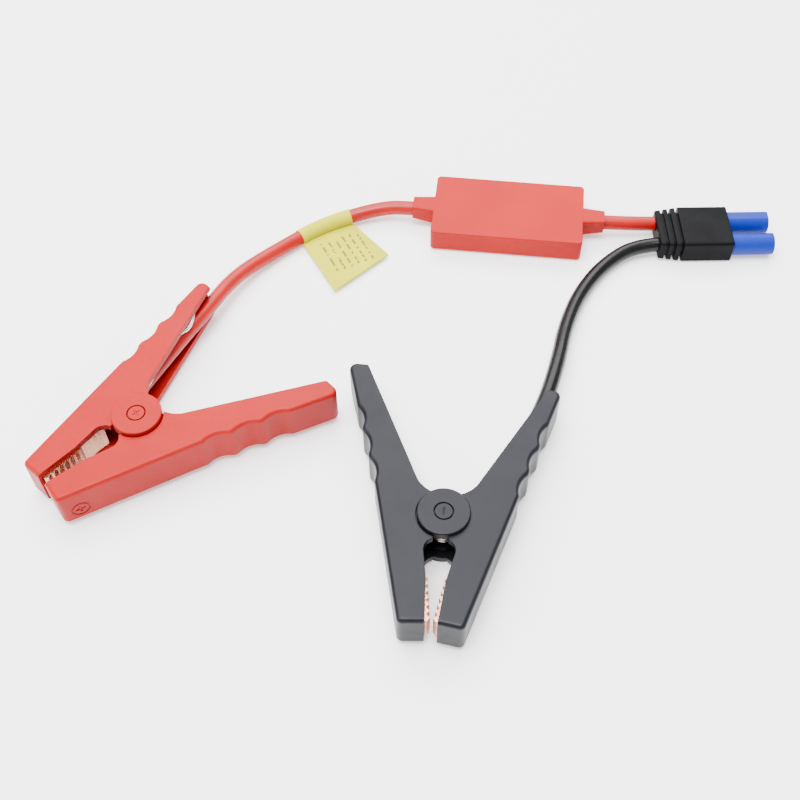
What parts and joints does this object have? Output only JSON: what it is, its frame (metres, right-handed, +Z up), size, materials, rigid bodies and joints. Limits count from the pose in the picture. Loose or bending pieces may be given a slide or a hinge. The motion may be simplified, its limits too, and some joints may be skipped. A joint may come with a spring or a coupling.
{
  "type": "jump starter clamp lead set",
  "caption": "Two sprung battery clamps on short heavy leads, with an inline protection module and a keyed twin-pole plug for a jump starter.",
  "frame": {"origin": "middle of the footprint of everything but the leads, on the floor", "axes": "+X towards the plug's open end, +Y from the clamps towards the module, +Z up; the set lies flat on the XY plane"},
  "size_m": [0.2751, 0.2057, 0.0185],
  "materials": {
    "red_clamp_plastic": "satin moulded, slightly soft sheen",
    "black_clamp_plastic": "satin moulded, slightly soft sheen",
    "copper": "bright stamped copper plating",
    "steel": "zinc plated",
    "spring_steel": "nickel plated wire",
    "tinned_copper": "tinned",
    "module_plastic": "finely textured moulding",
    "circuit_board": "solder-masked fibreglass",
    "diode_epoxy": "moulded epoxy",
    "black_overmould": "soft satin overmould",
    "blue_nylon": "moulded nylon",
    "gold_plate": "gold plated",
    "red_silicone": "smooth silicone jacket",
    "black_silicone": "smooth silicone jacket",
    "yellow_label": "printed coated paper"
  },
  "bodies": {
    "lead_set": {"red_cable_lever": "red_clamp_plastic", "red_fixed_jaw": "copper", "red_pivot_pin": "steel", "red_pivot_caps": "red_clamp_plastic", "red_torsion_spring": "spring_steel", "red_cable_lug": "tinned_copper", "black_cable_lever": "black_clamp_plastic", "black_fixed_jaw": "copper", "black_pivot_pin": "steel", "black_pivot_caps": "black_clamp_plastic", "black_torsion_spring": "spring_steel", "black_cable_lug": "tinned_copper", "module_base": "module_plastic", "module_lid": "module_plastic", "module_circuit_board": "circuit_board", "module_diodes": "diode_epoxy", "module_bus_bars": "copper", "module_input_terminal": "tinned_copper", "module_output_terminal": "tinned_copper", "plug_overmould": "black_overmould", "plug_connector_body": "blue_nylon", "plug_positive_socket": "gold_plate", "plug_negative_socket": "gold_plate", "red_clamp_cord": "red_silicone", "red_link_cord": "red_silicone", "black_clamp_cord": "black_silicone", "cord_flag_label": "yellow_label"},
    "red_swing_lever": {"red_free_lever": "red_clamp_plastic", "red_moving_jaw": "copper"},
    "black_swing_lever": {"black_free_lever": "black_clamp_plastic", "black_moving_jaw": "copper"}
  },
  "joints": [
    {"name": "red_clamp_squeeze", "type": "hinge", "parent": "lead_set", "child": "red_swing_lever", "pos_m": [-0.1019, -0.0226, 0.00925], "axis": [0, 0, 1], "range_deg": [0, 45], "stiffness_Nm_per_rad": 0.9, "springref_deg": -11.46, "deforming": ["red_torsion_spring"]},
    {"name": "black_clamp_squeeze", "type": "hinge", "parent": "lead_set", "child": "black_swing_lever", "pos_m": [0.0021, -0.0629, 0.00925], "axis": [0, 0, -1], "range_deg": [0, 45], "stiffness_Nm_per_rad": 0.9, "springref_deg": -11.46, "deforming": ["black_torsion_spring"]}
  ]
}
